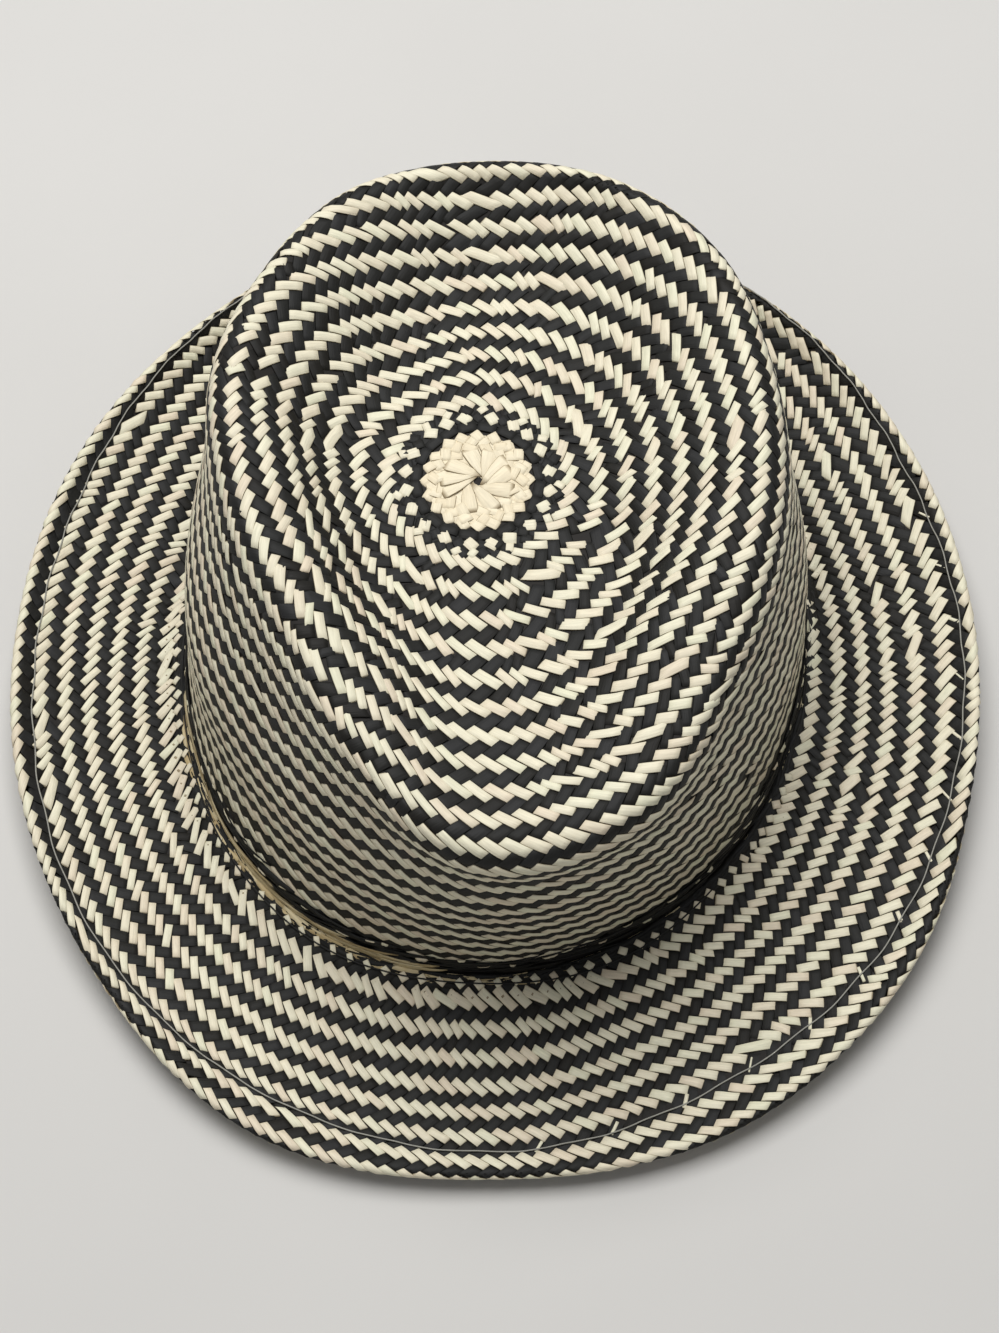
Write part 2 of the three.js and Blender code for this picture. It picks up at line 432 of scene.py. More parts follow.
def mesh_of(name, points, faces, smooth=True):
    mesh = bpy.data.meshes.new(name)
    mesh.from_pydata((np.asarray(points) * MM).tolist(), [], [list(face) for face in faces])
    mesh.polygons.foreach_set("use_smooth", [smooth] * len(mesh.polygons))
    mesh.update()
    return mesh


def store(mesh, name, values):
    """A value or vector per point, for nodes to read."""
    values = np.asarray(values, dtype=np.float32)
    kind, key = ("FLOAT", "value") if values.ndim == 1 else ("FLOAT_VECTOR", "vector")
    mesh.attributes.new(name, kind, "POINT").data.foreach_set(key, values.ravel())


# Materials

def material(name):
    made = bpy.data.materials.new(name)
    made.use_nodes = True
    tree = made.node_tree
    tree.nodes.clear()
    return made, tree


FIBRES_PER_MM = (0.22, 2.2, 1.0)    # a fibre is about 4.5 mm long and 0.45 mm wide
CLOUDS_PER_MM = 0.35                # the tone drifts over about 3 mm
FIBRE_DEPTH = 0.2                   # drawn deeper than it is, as it wouldn't show


def straw_material(name, tones, edge_shade_colour, roughness, gloss, bump):
    """Split palm leaf: a satin strip with fine fibres along it, and no two straws alike."""
    made, tree = material(name)
    grain = add(tree, "ShaderNodeAttribute", {"attribute_name": "grain"}).outputs["Vector"]
    tone = add(tree, "ShaderNodeAttribute", {"attribute_name": "tone"}).outputs["Fac"]
    rim = add(tree, "ShaderNodeAttribute", {"attribute_name": "rim"}).outputs["Fac"]
    fibres = add(tree, "ShaderNodeMapping", {}, {"Vector": grain, "Scale": FIBRES_PER_MM})
    fibre = add(tree, "ShaderNodeTexNoise", {}, {"Vector": fibres.outputs[0], "Scale": 1.0, "Detail": 3.0})
    clouds = add(tree, "ShaderNodeTexNoise", {}, {"Vector": grain, "Scale": CLOUDS_PER_MM, "Detail": 2.0})
    drift = add(tree, "ShaderNodeMath", {"operation": "MULTIPLY_ADD"},
                {0: clouds.outputs["Fac"], 1: 0.5, 2: -0.25})
    sum_tone = add(tree, "ShaderNodeMath", {"operation": "ADD"}, {0: tone, 1: drift.outputs[0]})
    ramp = add(tree, "ShaderNodeValToRGB", {}, {"Fac": sum_tone.outputs[0]})
    stops = ramp.color_ramp.elements
    while len(stops) < len(tones):
        stops.new(0.5)
    for k, code in enumerate(tones):
        stops[k].position = k / (len(tones) - 1)
        stops[k].color = linear(code)
    depth = add(tree, "ShaderNodeMapRange", {}, {
        "Value": fibre.outputs["Fac"], "From Min": 0.3, "From Max": 0.7, "To Min": 0.88, "To Max": 1.05})
    shaded = add(tree, "ShaderNodeVectorMath", {"operation": "SCALE"},
                 {0: ramp.outputs["Color"], "Scale": depth.outputs[0]})
    # painted shade: each strip's outline is drawn darker, towards its edge shade colour, where it dips under
    # its neighbours
    edge_shaded = add(tree, "ShaderNodeMix", {"data_type": "RGBA"},
                {"Factor": rim, 6: shaded.outputs[0], 7: linear(edge_shade_colour)})
    relief = add(tree, "ShaderNodeBump", {}, {
        "Height": fibre.outputs["Fac"], "Strength": bump, "Distance": FIBRE_DEPTH * MM})
    shader = add(tree, "ShaderNodeBsdfPrincipled", {}, {
        "Base Color": edge_shaded.outputs[2], "Roughness": roughness, "Specular IOR Level": gloss,
        "Normal": relief.outputs[0]})
    add(tree, "ShaderNodeOutputMaterial", {}, {"Surface": shader.outputs[0]})
    return made


def plain_material(name, colour, speckle, roughness, scale):
    """A plain surface with a faint mottle, of so many patches to the metre."""
    made, tree = material(name)
    where = add(tree, "ShaderNodeTexCoord")
    mottle = add(tree, "ShaderNodeTexNoise", {}, {
        "Vector": where.outputs["Object"], "Scale": scale, "Detail": 4.0})
    mixed = add(tree, "ShaderNodeMix", {"data_type": "RGBA"},
                {"Factor": mottle.outputs["Fac"], 6: linear(colour), 7: linear(speckle)})
    shader = add(tree, "ShaderNodeBsdfPrincipled", {}, {
        "Base Color": mixed.outputs[2], "Roughness": roughness})
    add(tree, "ShaderNodeOutputMaterial", {}, {"Surface": shader.outputs[0]})
    return made


# the second, dark colour given with each straw below is painted shade along the outlines of its strips
# pale green where the leaf was young, pinkish beige where it was old
CREAM_STRAW = straw_material(
    "undyed_palm_straw", ("e9e6ca", "efe9cf", "ede4ca", "e8dac1"), edge_shade_colour="84704a",
    roughness=0.55, gloss=0.3, bump=0.35)
# the button's finer straw, warmer and a little brighter
BUTTON_STRAW = straw_material(
    "undyed_palm_button_straw", ("f6ebcf", "f2e5c7", "ebdab8"), edge_shade_colour="86704c",
    roughness=0.55, gloss=0.3, bump=0.35)
# the dye leaves a soft charcoal, nearly flat, with fibres that still catch some light
BLACK_STRAW = straw_material(
    "black_dyed_palm_straw", ("2a2a2a", "232321", "1e1c18"), edge_shade_colour="0f0e0c",
    roughness=0.62, gloss=0.25, bump=0.5)
# tan straw at the crown's foot, streaky, its own tan darkened as painted shade for the deep shade it lies in
TAN_STRAW = straw_material(
    "weathered_palm_straw", ("e2d3ac", "cdb98c", "b39d72"), edge_shade_colour="4a3b25",
    roughness=0.6, gloss=0.3, bump=0.5)
# straw deep between the others, where it is in shade and looks nearly black
HIDDEN_STRAW = plain_material("straw_in_shade", "231f1a", "15120f", roughness=0.8, scale=400)
# clear nylon thread, a dull grey line
NYLON = plain_material("nylon_thread", "9c9a90", "8a887f", roughness=0.35, scale=60)
# black sewing thread, a matt dark line
BLACK_THREAD = plain_material("black_thread", "141414", "1b1b1b", roughness=0.7, scale=60)

# Laying the straws, as Geometry Nodes


def strip_shape(name, stations, sides):
    """A strip of straw; x and y run from -1 to 1 over its length and width, z is in millimetres.

    A station is a place along it, its height, its share of the full width and how far painted shade
    darkens its outline there; a side is a place across it, its height and its painted shade.
    """
    points = [(x, y * wide, z + dz) for x, z, wide, _ in stations for y, dz, _ in sides]
    edge_shades = [max(end, side) for _, _, _, end in stations for _, _, side in sides]
    count = len(sides)
    faces = []
    for i in range(len(stations) - 1):
        for j in range(count):
            a, b = i * count + j, i * count + (j + 1) % count
            faces.append((a, a + count, b + count, b))
    faces.append(tuple(range(count)))
    faces.append(tuple((len(stations) - 1) * count + j for j in reversed(range(count))))
    mesh = mesh_of(name, points, faces)
    store(mesh, "local", points)
    store(mesh, "rim", edge_shades)
    return new_object(name, mesh)


# the last value of each side and station is how far painted shade darkens the strip's outline there
FLAT_SIDES = ((-1.0, -0.2, 0.8), (-0.87, 0.0, 0.0), (0.87, 0.0, 0.0), (1.0, -0.2, 0.8))
FLOAT = strip_shape("float_shape", (
    (-1.07, -0.62, 1, 0.8), (-0.95, -0.13, 1, 0.1), (-0.5, 0.0, 1, 0), (0.0, 0.0, 1, 0),
    (0.5, 0.0, 1, 0), (0.95, -0.13, 1, 0.1), (1.07, -0.62, 1, 0.8)), FLAT_SIDES)
WISP = strip_shape("wisp_shape", (
    (-1.0, -0.3, 0.3, 0.6), (-0.7, -0.03, 0.8, 0), (-0.35, 0.05, 1, 0), (0.0, 0.0, 0.9, 0),
    (0.35, 0.06, 1, 0), (0.7, -0.03, 0.8, 0), (1.0, -0.3, 0.3, 0.6)), FLAT_SIDES)
WEDGE = strip_shape("wedge_shape", (
    (-1.0, -0.25, 0.12, 0.9), (-0.5, 0.0, 0.5, 0), (0.1, 0.05, 0.85, 0), (0.75, 0.0, 1, 0),
    (1.0, -0.35, 0.9, 0.9)), FLAT_SIDES)
SHAPES = (FLOAT, WISP, WEDGE)


def laying_tree():
    """Puts a shape at each point and bends it onto a sheet, by the sheet's chart."""
    tree = bpy.data.node_groups.new("lay_straws", "GeometryNodeTree")
    sockets = {
        "Geometry": "NodeSocketGeometry", "Sheet": "NodeSocketObject", "Shape": "NodeSocketObject",
        "Thickness": "NodeSocketFloat", "Finish": "NodeSocketMaterial"}
    for name, kind in sockets.items():
        tree.interface.new_socket(name, in_out="INPUT", socket_type=kind)
    tree.interface.new_socket("Geometry", in_out="OUTPUT", socket_type="NodeSocketGeometry")
    given = add(tree, "NodeGroupInput")
    shape = add(tree, "GeometryNodeObjectInfo", {}, {"Object": given.outputs["Shape"]})
    sheet = add(tree, "GeometryNodeObjectInfo", {}, {"Object": given.outputs["Sheet"]})
    laid = add(tree, "GeometryNodeInstanceOnPoints", {},
               {"Points": given.outputs["Geometry"], "Instance": shape.outputs["Geometry"]})
    real = add(tree, "GeometryNodeRealizeInstances", {}, {"Geometry": laid.outputs[0]})

    def named(name, kind="FLOAT_VECTOR"):
        found = add(tree, "GeometryNodeInputNamedAttribute", {"data_type": kind}, {"Name": name})
        return found.outputs["Attribute"]

    def scaled(vector, amount):
        made = add(tree, "ShaderNodeVectorMath", {"operation": "SCALE"}, {0: vector, "Scale": amount})
        return made.outputs[0]

    def total(a, b):
        return add(tree, "ShaderNodeVectorMath", {"operation": "ADD"}, {0: a, 1: b}).outputs[0]

    local = add(tree, "ShaderNodeSeparateXYZ", {}, {0: named("local")}).outputs
    offset = total(scaled(named("along"), local["X"]), scaled(named("across"), local["Y"]))
    chart = total(named("place"), offset)

    def sampled(value):
        return add(tree, "GeometryNodeSampleUVSurface", {"data_type": "FLOAT_VECTOR"}, {
            "Mesh": sheet.outputs["Geometry"], "Value": value, "UV Map": named("chart"),
            "Sample UV": chart}).outputs["Value"]

    rise = add(tree, "ShaderNodeMath", {"operation": "MULTIPLY_ADD"},
               {0: local["Z"], 1: given.outputs["Thickness"], 2: named("lift", "FLOAT")})
    rolled = add(tree, "ShaderNodeMath", {"operation": "MULTIPLY_ADD"},
                 {0: local["Y"], 1: named("roll", "FLOAT"), 2: rise.outputs[0]})
    height = add(tree, "ShaderNodeMath", {"operation": "MULTIPLY"}, {0: rolled.outputs[0], 1: MM})
    here = add(tree, "GeometryNodeInputPosition")
    position = total(sampled(here.outputs[0]), scaled(sampled(named("outward")), height.outputs[0]))
    moved = add(tree, "GeometryNodeSetPosition", {}, {"Geometry": real.outputs[0], "Position": position})
    grain = add(tree, "ShaderNodeVectorMath", {"operation": "MULTIPLY_ADD"},
                {0: named("local"), 1: named("size"), 2: named("start")})
    kept = add(tree, "GeometryNodeStoreNamedAttribute", {"data_type": "FLOAT_VECTOR", "domain": "POINT"},
               {"Geometry": moved.outputs[0], "Name": "grain", "Value": grain.outputs[0]})
    finished = add(tree, "GeometryNodeSetMaterial", {},
                   {"Geometry": kept.outputs[0], "Material": given.outputs["Finish"]})
    add(tree, "NodeGroupOutput", {}, {0: finished.outputs[0]})
    return tree


TREE = laying_tree()
pieces = []
charts = []


def charted(name, sheet):
    """A sheet as a mesh that carries its chart and its normals, for the nodes to read."""
    rows, columns = sheet.points.shape[:2]
    at = np.arange(rows * columns).reshape(rows, columns)
    faces = np.stack([at[:-1, :-1], at[1:, :-1], at[1:, 1:], at[:-1, 1:]], axis=-1).reshape(-1, 4)
    mesh = mesh_of(name, sheet.points.reshape(-1, 3), faces.tolist())
    x, y = np.meshgrid(sheet.x, sheet.y)
    store(mesh, "chart", np.stack([x, y, 0 * x], axis=-1).reshape(-1, 3))
    store(mesh, "outward", sheet.normals.reshape(-1, 3))
    sheet.mesh = new_object(name, mesh)
    charts.append(sheet.mesh)
    return sheet


def baked(made):
    """The evaluated object as a plain mesh, without its modifiers."""
    bpy.context.view_layer.update()
    seen = made.evaluated_get(bpy.context.evaluated_depsgraph_get())
    mesh = bpy.data.meshes.new_from_object(seen)
    made.modifiers.clear()
    made.data = mesh
    mesh.name = made.name
    for name in ("place", "along", "across", "size", "start", "lift", "roll", "local"):
        if name in mesh.attributes:
            mesh.attributes.remove(mesh.attributes[name])
    return made


LIFT = (-0.05, 0.03)         # how far straws lie over or under their sheet
ROLL = 0.03                  # how far one side of a straw rises over the other
THICKNESS = 1.0              # share of a shape's own heights


def lay(name, sheet, shape, finish, floats, lift=LIFT, roll=ROLL):
    """One piece of many strips, made a plain mesh. Floats hold x, y, along, across and tone."""
    x, y, along, across, tone = floats
    count = len(x)
    flat = np.zeros((count, 1))
    place = np.stack([x, y], axis=-1)
    size = np.stack([sheet.lengths(x, y, along), sheet.lengths(x, y, across)], axis=-1)
    points = bpy.data.meshes.new(name)
    points.from_pydata(np.hstack([place, flat]).tolist(), [], [])
    for key, value in (("place", place), ("along", along), ("across", across), ("size", size)):
        store(points, key, np.hstack([value, flat]))
    store(points, "start", rng.uniform(0, 60, (count, 3)))
    store(points, "tone", np.clip(tone, 0, 1))
    store(points, "lift", rng.uniform(*lift, count))
    store(points, "roll", roll if np.ndim(roll) else rng.normal(0.0, roll, count))
    made = new_object(name, points)
    maker = made.modifiers.new("straws", "NODES")
    maker.node_group = TREE
    values = {"Sheet": sheet.mesh, "Shape": shape, "Thickness": THICKNESS, "Finish": finish}
    for item in TREE.interface.items_tree:
        if item.in_out == "INPUT" and item.name in values:
            maker[item.identifier] = values[item.name]
    pieces.append(baked(made))


TONES = rng.beta(1.6, 1.6, STRAWS)


def jittered(sheet, x, y, along, across, turned, longer, wider):
    """The strips with small differences in direction, length and width."""
    count = len(x)
    ratio = (sheet.lengths(x, y, along) / np.maximum(sheet.lengths(x, y, across), 1e-6))[:, None]
    bend = rng.normal(0.0, 1.0, count)[:, None] * np.reshape(turned, (-1, 1))
    long = longer * rng.normal(1.0, 0.03, count)[:, None]
    wide = wider * rng.normal(1.0, 0.025, count)[:, None]
    return long * (along + bend * ratio * across), wide * (across - bend / ratio * along)


NARROWEST = 0.3              # half a straw's width, under which it isn't laid
ASKEW = 0.045                # how far a straw lies out of its direction
DISORDER_FROM = 0.72         # the brim's first ring is disordered from the wearer's right
DISORDER_TO = 0.05           # to just past the front
DISORDER_ASKEW = 0.14
DISORDER_LONGER = 1.15


def woven(name, sheet, floats, keep, finish, longer=1.0, wider=1.0, lift=LIFT, disorder=False):
    """A piece of floats of one colour, without those that keep leaves out."""
    turn, ring, along, across, straw = floats
    chosen = keep(turn, ring) & (sheet.lengths(turn, ring, across) > NARROWEST)
    turn, ring, along, across, straw = (part[chosen] for part in floats)
    wild = disorder & (ring == 1) & ((turn > DISORDER_FROM) | (turn < DISORDER_TO))
    askew = np.where(wild, DISORDER_ASKEW, ASKEW)
    along, across = jittered(sheet, turn, ring, along, across, askew, longer, wider)
    along = np.where(wild, DISORDER_LONGER, 1.0)[:, None] * along
    tone = TONES[straw] + rng.normal(0.0, 0.13, len(turn))
    lay(name, sheet, FLOAT, finish, (turn, ring, along, across, tone), lift)


def strips(sheet, turn, ring, length, width, tilt):
    """Strips laid at an angle to the rings, with sizes in millimetres."""
    step = 1e-3
    round_it = sheet.lengths(turn, ring, np.tile([step, 0.0], (len(turn), 1))) / step
    up_it = sheet.lengths(turn, ring, np.tile([0.0, step], (len(turn), 1))) / step
    c, s = np.cos(tilt), np.sin(tilt)
    along = 0.5 * np.stack([length * c / round_it, length * s / up_it], axis=-1)
    across = 0.5 * np.stack([width * s / round_it, -width * c / up_it], axis=-1)
    return turn, ring, along, across


# Crown

outer, crown_foot = crown_sheet()
charted("crown_outer_chart", outer)
inner = charted("crown_inner_chart", outer.behind(WALL))
crown_rows = slips(outer, 1, CROWN_LAST, CROWN_SPACING)


def above_foot(clear):
    """Whether a float lies clear of the crown's foot by so many millimetres."""
    def keep(turn, ring):
        return ring < np.interp(turn, outer.x, crown_foot) - clear / FOOT_PITCH
    return keep


woven("crown_cream_straws", outer, spread(crown_rows, 1, undyed=True), above_foot(5.0),
      CREAM_STRAW, longer=1.02, lift=(0.0, 0.08))
woven("crown_black_straws", outer, spread(crown_rows, 1, undyed=False), above_foot(-1.0),
      BLACK_STRAW, longer=1.05, wider=1.05, lift=(-0.14, -0.04))
woven("crown_inside_cream_straws", inner, spread(crown_rows, 1, undyed=True, under=True),
      above_foot(-4.0), CREAM_STRAW)
woven("crown_inside_black_straws", inner, spread(crown_rows, 1, undyed=False, under=True),
      above_foot(-4.0), BLACK_STRAW)

# The button in the middle of the crown, on a flat chart in millimetres

BUTTON_REACH = 28.0          # half the side of the chart
BUTTON_GRID = 2.0


def button_sheet():
    """The crown's top round the middle of the button."""
    across = np.arange(-BUTTON_REACH, BUTTON_REACH + 1, BUTTON_GRID)
    x, y = np.meshgrid(across, across)
    lines = crown_lines(np.arctan2(x, -y).ravel() / FULL)[:3 * LINE_STEPS]
    middle = BUTTON[:2] + AXIS[:2]
    away = np.linalg.norm(lines[..., :2] - middle, axis=-1)
    z = [np.interp(r, away[:, i], lines[:, i, 2]) for i, r in enumerate(np.hypot(x, y).ravel())]
    points = np.stack([x + middle[0], y + middle[1], np.reshape(z, x.shape)], axis=-1)
    return Sheet(across, across, points, -outward(points))


def pinwheel(count, radius, length, width, turned, first=0.0, loose=0.05):
    """Strips evenly round the button, turned so many degrees from pointing outwards."""
    angle = FULL * (np.arange(count) + first + rng.normal(0, loose, count)) / count
    heading = angle + np.radians(turned) + rng.normal(0, 1.2 * loose, count)
    x, y = radius * np.sin(angle), -radius * np.cos(angle)
    along = 0.5 * length * np.stack([np.sin(heading), -np.cos(heading)], axis=-1)
    across = 0.5 * width * np.stack([np.cos(heading), np.sin(heading)], axis=-1)
    return x, y, along, across, rng.uniform(0.25, 0.7, count)


def pinwheels(*rings):
    """Several such rings. Each gives how many strips it has, how far out they lie, their length
    and width, their turn, and where it needs to the place of the first and their looseness."""
    return [np.concatenate(parts) for parts in zip(*(pinwheel(*ring) for ring in rings))]


GROUND_LIFT = (-0.25, -0.2)  # straws that the others lie on
button = charted("button_chart", button_sheet())
lay("button_ground", button, FLOAT, BUTTON_STRAW, pinwheels(
    (9, 3.4, 4.2, 3.6, 20.0), (16, 7.0, 5.0, 5.0, 90.0), (22, 11.0, 4.6, 4.6, 90.0)),
    lift=GROUND_LIFT)
lay("button_inner_straws", button, WEDGE, BUTTON_STRAW, pinwheels((10, 4.9, 10.2, 4.4, 26.0, 0.3, 0.16)),
    lift=(0.1, 0.2), roll=rng.normal(0.3, 0.1, 10))
lay("button_outer_straws", button, FLOAT, BUTTON_STRAW, pinwheels(
    (15, 9.3, 3.9, 2.9, 50.0, 0.0, 0.14), (18, 11.2, 3.6, 2.8, -42.0, 0.4, 0.12),
    (20, 12.9, 3.3, 2.8, 46.0, 0.0, 0.06)), lift=(-0.1, 0.07), roll=0.12)
lay("button_black_straws", button, FLOAT, BLACK_STRAW, pinwheels(
    (20, 15.7, 5.0, 2.9, 93.0, 0.5), (20, 18.6, 3.0, 2.9, 44.0, 0.0, 0.12),
    (24, 20.8, 3.4, 2.7, 40.0, 0.3, 0.12)), lift=(0.0, 0.08), roll=0.05)
lay("button_black_ground", button, FLOAT, BLACK_STRAW, pinwheels(
    (30, 18.4, 4.2, 4.2, 90.0), (32, 21.0, 4.2, 4.2, 90.0)), lift=GROUND_LIFT, roll=0.02)
lay("button_cream_dots", button, FLOAT, CREAM_STRAW, pinwheels(
    (20, 18.4, 3.5, 3.1, 48.0, 0.5, 0.1), (13, 20.8, 2.6, 2.1, -40.0, 0.2, 0.2)),
    lift=(0.1, 0.16), roll=0.05)

# The same button from inside the crown
button_inside = charted("button_inside_chart", button.behind(WALL))
lay("button_inside_straws", button_inside, FLOAT, BUTTON_STRAW, pinwheels(
    (9, 3.2, 5.2, 3.8, -20.0), (15, 7.4, 4.6, 3.6, -50.0), (18, 10.4, 4.2, 3.6, 42.0),
    (20, 12.9, 3.6, 3.4, -46.0)), lift=(-0.1, 0.07), roll=0.08)
lay("button_inside_black", button_inside, FLOAT, BLACK_STRAW, pinwheels(
    (20, 15.7, 5.0, 3.2, 93.0, 0.5), (24, 18.4, 4.2, 4.0, 40.0), (28, 20.8, 3.8, 3.6, 40.0)),
    lift=(-0.1, 0.0), roll=0.04)

# Brim

brim, brim_arc, brim_rings, brim_edge = brim_sheet()
charted("brim_upper_chart", brim)
under = charted("brim_under_chart", brim.behind(WALL))
brim_rows = slips(brim, 0, BRIM_LAST, BRIM_SPACING)


def brim_line(distance):
    """Ring number, for each column, at so many millimetres from the crown's foot."""
    return np.array([np.interp(distance, brim_arc[:, k], brim_rings[:, k]) for k in range(len(brim.x))])


def rows_between(first_of, last_of):
    """Whether a float lies between two lines of ring numbers."""
    def keep(turn, ring):
        return (ring > np.interp(turn, brim.x, first_of)) & (ring < np.interp(turn, brim.x, last_of))
    return keep


HEM_DEPTH = 9.0
hem_start = brim_rings[brim_edge] - HEM_DEPTH / HEM_PITCH
under_start = brim_line(MARGIN)
brim_end = brim_rings[-1] - 0.3
woven("brim_cream_straws", brim, spread(brim_rows, 0, undyed=True),
      rows_between(np.maximum(brim_line(1.2), 0.6), brim_end), CREAM_STRAW, wider=0.98,
      lift=(0.02, 0.1), disorder=True)
woven("brim_black_straws", brim, spread(brim_rows, 0, undyed=False),
      rows_between(np.maximum(brim_line(1.5), 0.3), brim_end), BLACK_STRAW, longer=1.05, wider=1.06,
      lift=(-0.26, -0.16))
woven("brim_under_cream_straws", under, spread(brim_rows, 0, undyed=True, under=True),
      rows_between(under_start, hem_start + 0.3), CREAM_STRAW)
woven("brim_under_black_straws", under, spread(brim_rows, 0, undyed=False, under=True),
      rows_between(under_start, hem_start + 0.3), BLACK_STRAW)

# The crown's foot: small diamonds on the brim, ragged straws on the wall

GROUND_STRAWS = 520
DIAMONDS_SEEN = 58
# Turns from the back and distances from the crown's foot: the diamonds lie further out on
# both sides of the front than at the front itself, and furthest at the wearer's right
DIAMONDS_OUT = ((0.23, 0.4, 0.5, 0.6, 0.67), (3.6, 4.3, 3.3, 4.0, 3.6))


def sector(first, last, count):
    """Turns spread evenly between two places, which may lie on either side of the front."""
    return (first + (last - first) * (np.arange(count) + 0.5) / count) % 1.0


def brim_ring(turns, distance):
    """Ring number at distances in millimetres from the crown's foot."""
    column = np.clip(np.round(turns * COLUMNS_ROUND).astype(int) + LAP, 0, len(brim.x) - 1)
    return np.array([np.interp(d, brim_arc[:, k], brim_rings[:, k]) for k, d in zip(column, distance)])


def laid_at(name, finish, shape, turns, distance, length, width, tilt, lift):
    """Strips on the brim at distances in millimetres from the crown's foot."""
    near = brim_ring(turns, distance)
    count = len(turns)
    parts = strips(brim, turns, near, rng.uniform(*length, count), rng.uniform(*width, count),
                   np.radians(rng.normal(*tilt, count)))
    lay(name, brim, shape, finish, (*parts, rng.uniform(0.2, 1, count)), lift, roll=0.05)


ground_turns = rng.uniform(0, 1, GROUND_STRAWS)
laid_at("foot_black_ground", BLACK_STRAW, WISP, ground_turns, rng.uniform(1.2, 4.6, GROUND_STRAWS),
        length=(6, 11), width=(1.2, 2.2), tilt=(0, 5), lift=(-0.25, -0.1))
diamond_turns = sector(-0.27, 0.17, DIAMONDS_SEEN)
diamond_out = np.interp((diamond_turns + 0.5) % 1.0, *DIAMONDS_OUT)
laid_at("foot_cream_diamonds", CREAM_STRAW, FLOAT, diamond_turns,
        diamond_out + rng.normal(0, 0.15, DIAMONDS_SEEN),
        length=(2.1, 2.9), width=(1.6, 2.2), tilt=(50, 9), lift=(0.22, 0.34))


def scattered(name, finish, count, first, last, high, length, width, slant, lift):
    """Loose straws along the crown's foot, between two heights above it."""
    turns = sector(first, last, count)
    turns = (turns + rng.uniform(-0.4, 0.4, count) * (last - first) / count) % 1.0
    rings = np.interp(turns, outer.x, crown_foot) - rng.uniform(*high, count) / FOOT_PITCH
    parts = strips(outer, turns, rings, rng.uniform(*length, count), rng.uniform(*width, count),
                   np.radians(rng.normal(0, slant, count)))
    lay(name, outer, WISP, finish, (*parts, rng.uniform(0, 1, count)), lift, roll=0.1)


scattered("foot_black_wisps", BLACK_STRAW, 560, 0.0, 1.0, high=(0.3, 6.0), length=(8, 20),
          width=(0.8, 1.7), slant=6, lift=(0.1, 0.6))
scattered("foot_cream_specks", CREAM_STRAW, 80, 0.0, 1.0, high=(2.5, 7.0), length=(1.6, 5.0),
          width=(0.6, 1.3), slant=14, lift=(0.45, 0.7))
scattered("foot_tan_wisps", TAN_STRAW, 46, -0.2, -0.03, high=(-0.4, 1.8), length=(12, 26),
          width=(1.0, 2.2), slant=4, lift=(0.5, 1.0))

STRAND_TOP = 0.5             # width of its top, from where it slopes down
STRAND_EDGE = 0.7            # its height at the outer side
STRAND_GRID = 0.35


def strand_sheet():
    """The straw round the foot, with millimetres across it as the chart's second value."""
    turns = sheet_turns()
    inside = strand_radius(sections_at(turns))
    # it reaches past both sides, as a strip off the chart would have no place to lie
    rows = np.arange(-2.1, STRAND_WIDTH + 2.2, STRAND_GRID)
    heights = np.interp(rows, (0, STRAND_TOP, STRAND_WIDTH), (STRAND_RISE, STRAND_RISE, STRAND_EDGE))
    points = np.array([place_at(turns, inside + out, WALL + GAP + up) for out, up in zip(rows, heights)])
    return Sheet(turns, rows, points, outward(points))


def over_strand(name, finish, turns, across, length, width, slant, lift):
    """Straws that lie along the straw round the foot, between two places across it."""
    count = len(turns)
    parts = strips(strand, turns, rng.uniform(*across, count), rng.uniform(*length, count),
                   rng.uniform(*width, count), np.radians(rng.normal(0, slant, count)))
    lay(name, strand, WISP, finish, (*parts, rng.uniform(0, 1, count)), lift, roll=0.05)


# Black straws lie over the pale one nearly everywhere but at the wearer's right front
strand = charted("strand_chart", strand_sheet())
over_strand("strand_black_wisps", BLACK_STRAW, sector(-0.02, 0.8, 420), across=(0.3, 2.4),
            length=(7, 15), width=(0.7, 1.4), slant=5, lift=(0.05, 0.3))
over_strand("strand_dark_edges", BLACK_STRAW, sector(-0.2, -0.02, 44), across=(0.2, 2.6),
            length=(5, 13), width=(0.3, 0.8), slant=7, lift=(0.1, 0.3))
over_strand("strand_tan_slivers", TAN_STRAW, sector(-0.2, 0.04, 66), across=(0.6, 2.5),
            length=(6, 15), width=(0.7, 1.7), slant=6, lift=(0.05, 0.3))


def tube(name, finish, turns, rings, sheet, radius, height, closed):
    """A thread laid on a sheet, its middle so high over it at each point."""
    middle = sheet.at(turns, rings)
    tangent = np.gradient(middle, axis=0)
    tangent /= np.linalg.norm(tangent, axis=-1, keepdims=True)
    up = np.cross(tangent, np.cross([0.0, 0.0, 1.0], tangent))
    side = np.cross(tangent, up)
    sides = 6
    points = []
    for k in range(sides):
        a = FULL * k / sides
        points.append(middle + height[:, None] * up + radius * (math.cos(a) * side + math.sin(a) * up))
    points = np.stack(points, axis=1)
    count = len(turns)
    faces = []
    for i in range(count if closed else count - 1):
        j = (i + 1) % count
        for k in range(sides):
            m = (k + 1) % sides
            faces.append((i * sides + k, j * sides + k, j * sides + m, i * sides + m))
    if not closed:
        faces.append(tuple(reversed(range(sides))))
        faces.append(tuple((count - 1) * sides + k for k in range(sides)))
    made = new_object(name, mesh_of(name, points.reshape(-1, 3), faces))
    made.data.materials.append(finish)
    pieces.append(made)


THREAD_RADIUS = 0.22
HEM_POINTS = 720
HEM_STITCHES = 130
hem_turns = np.arange(HEM_POINTS) / HEM_POINTS
wave = 0.035 * np.sin(FULL * 41 * hem_turns) + 0.05 * np.sin(FULL * 5 * hem_turns + 1.0)
# at the wearer's right it runs nearer to the sixth cream ring
wave -= 0.32 * np.exp(-((hem_turns - 0.76) / 0.09) ** 2)
tube("hem_thread", NYLON, hem_turns, STITCHED + 0.05 + wave, brim, THREAD_RADIUS,
     height=0.25 + 0.12 * np.sin(FULL * HEM_STITCHES * hem_turns), closed=True)

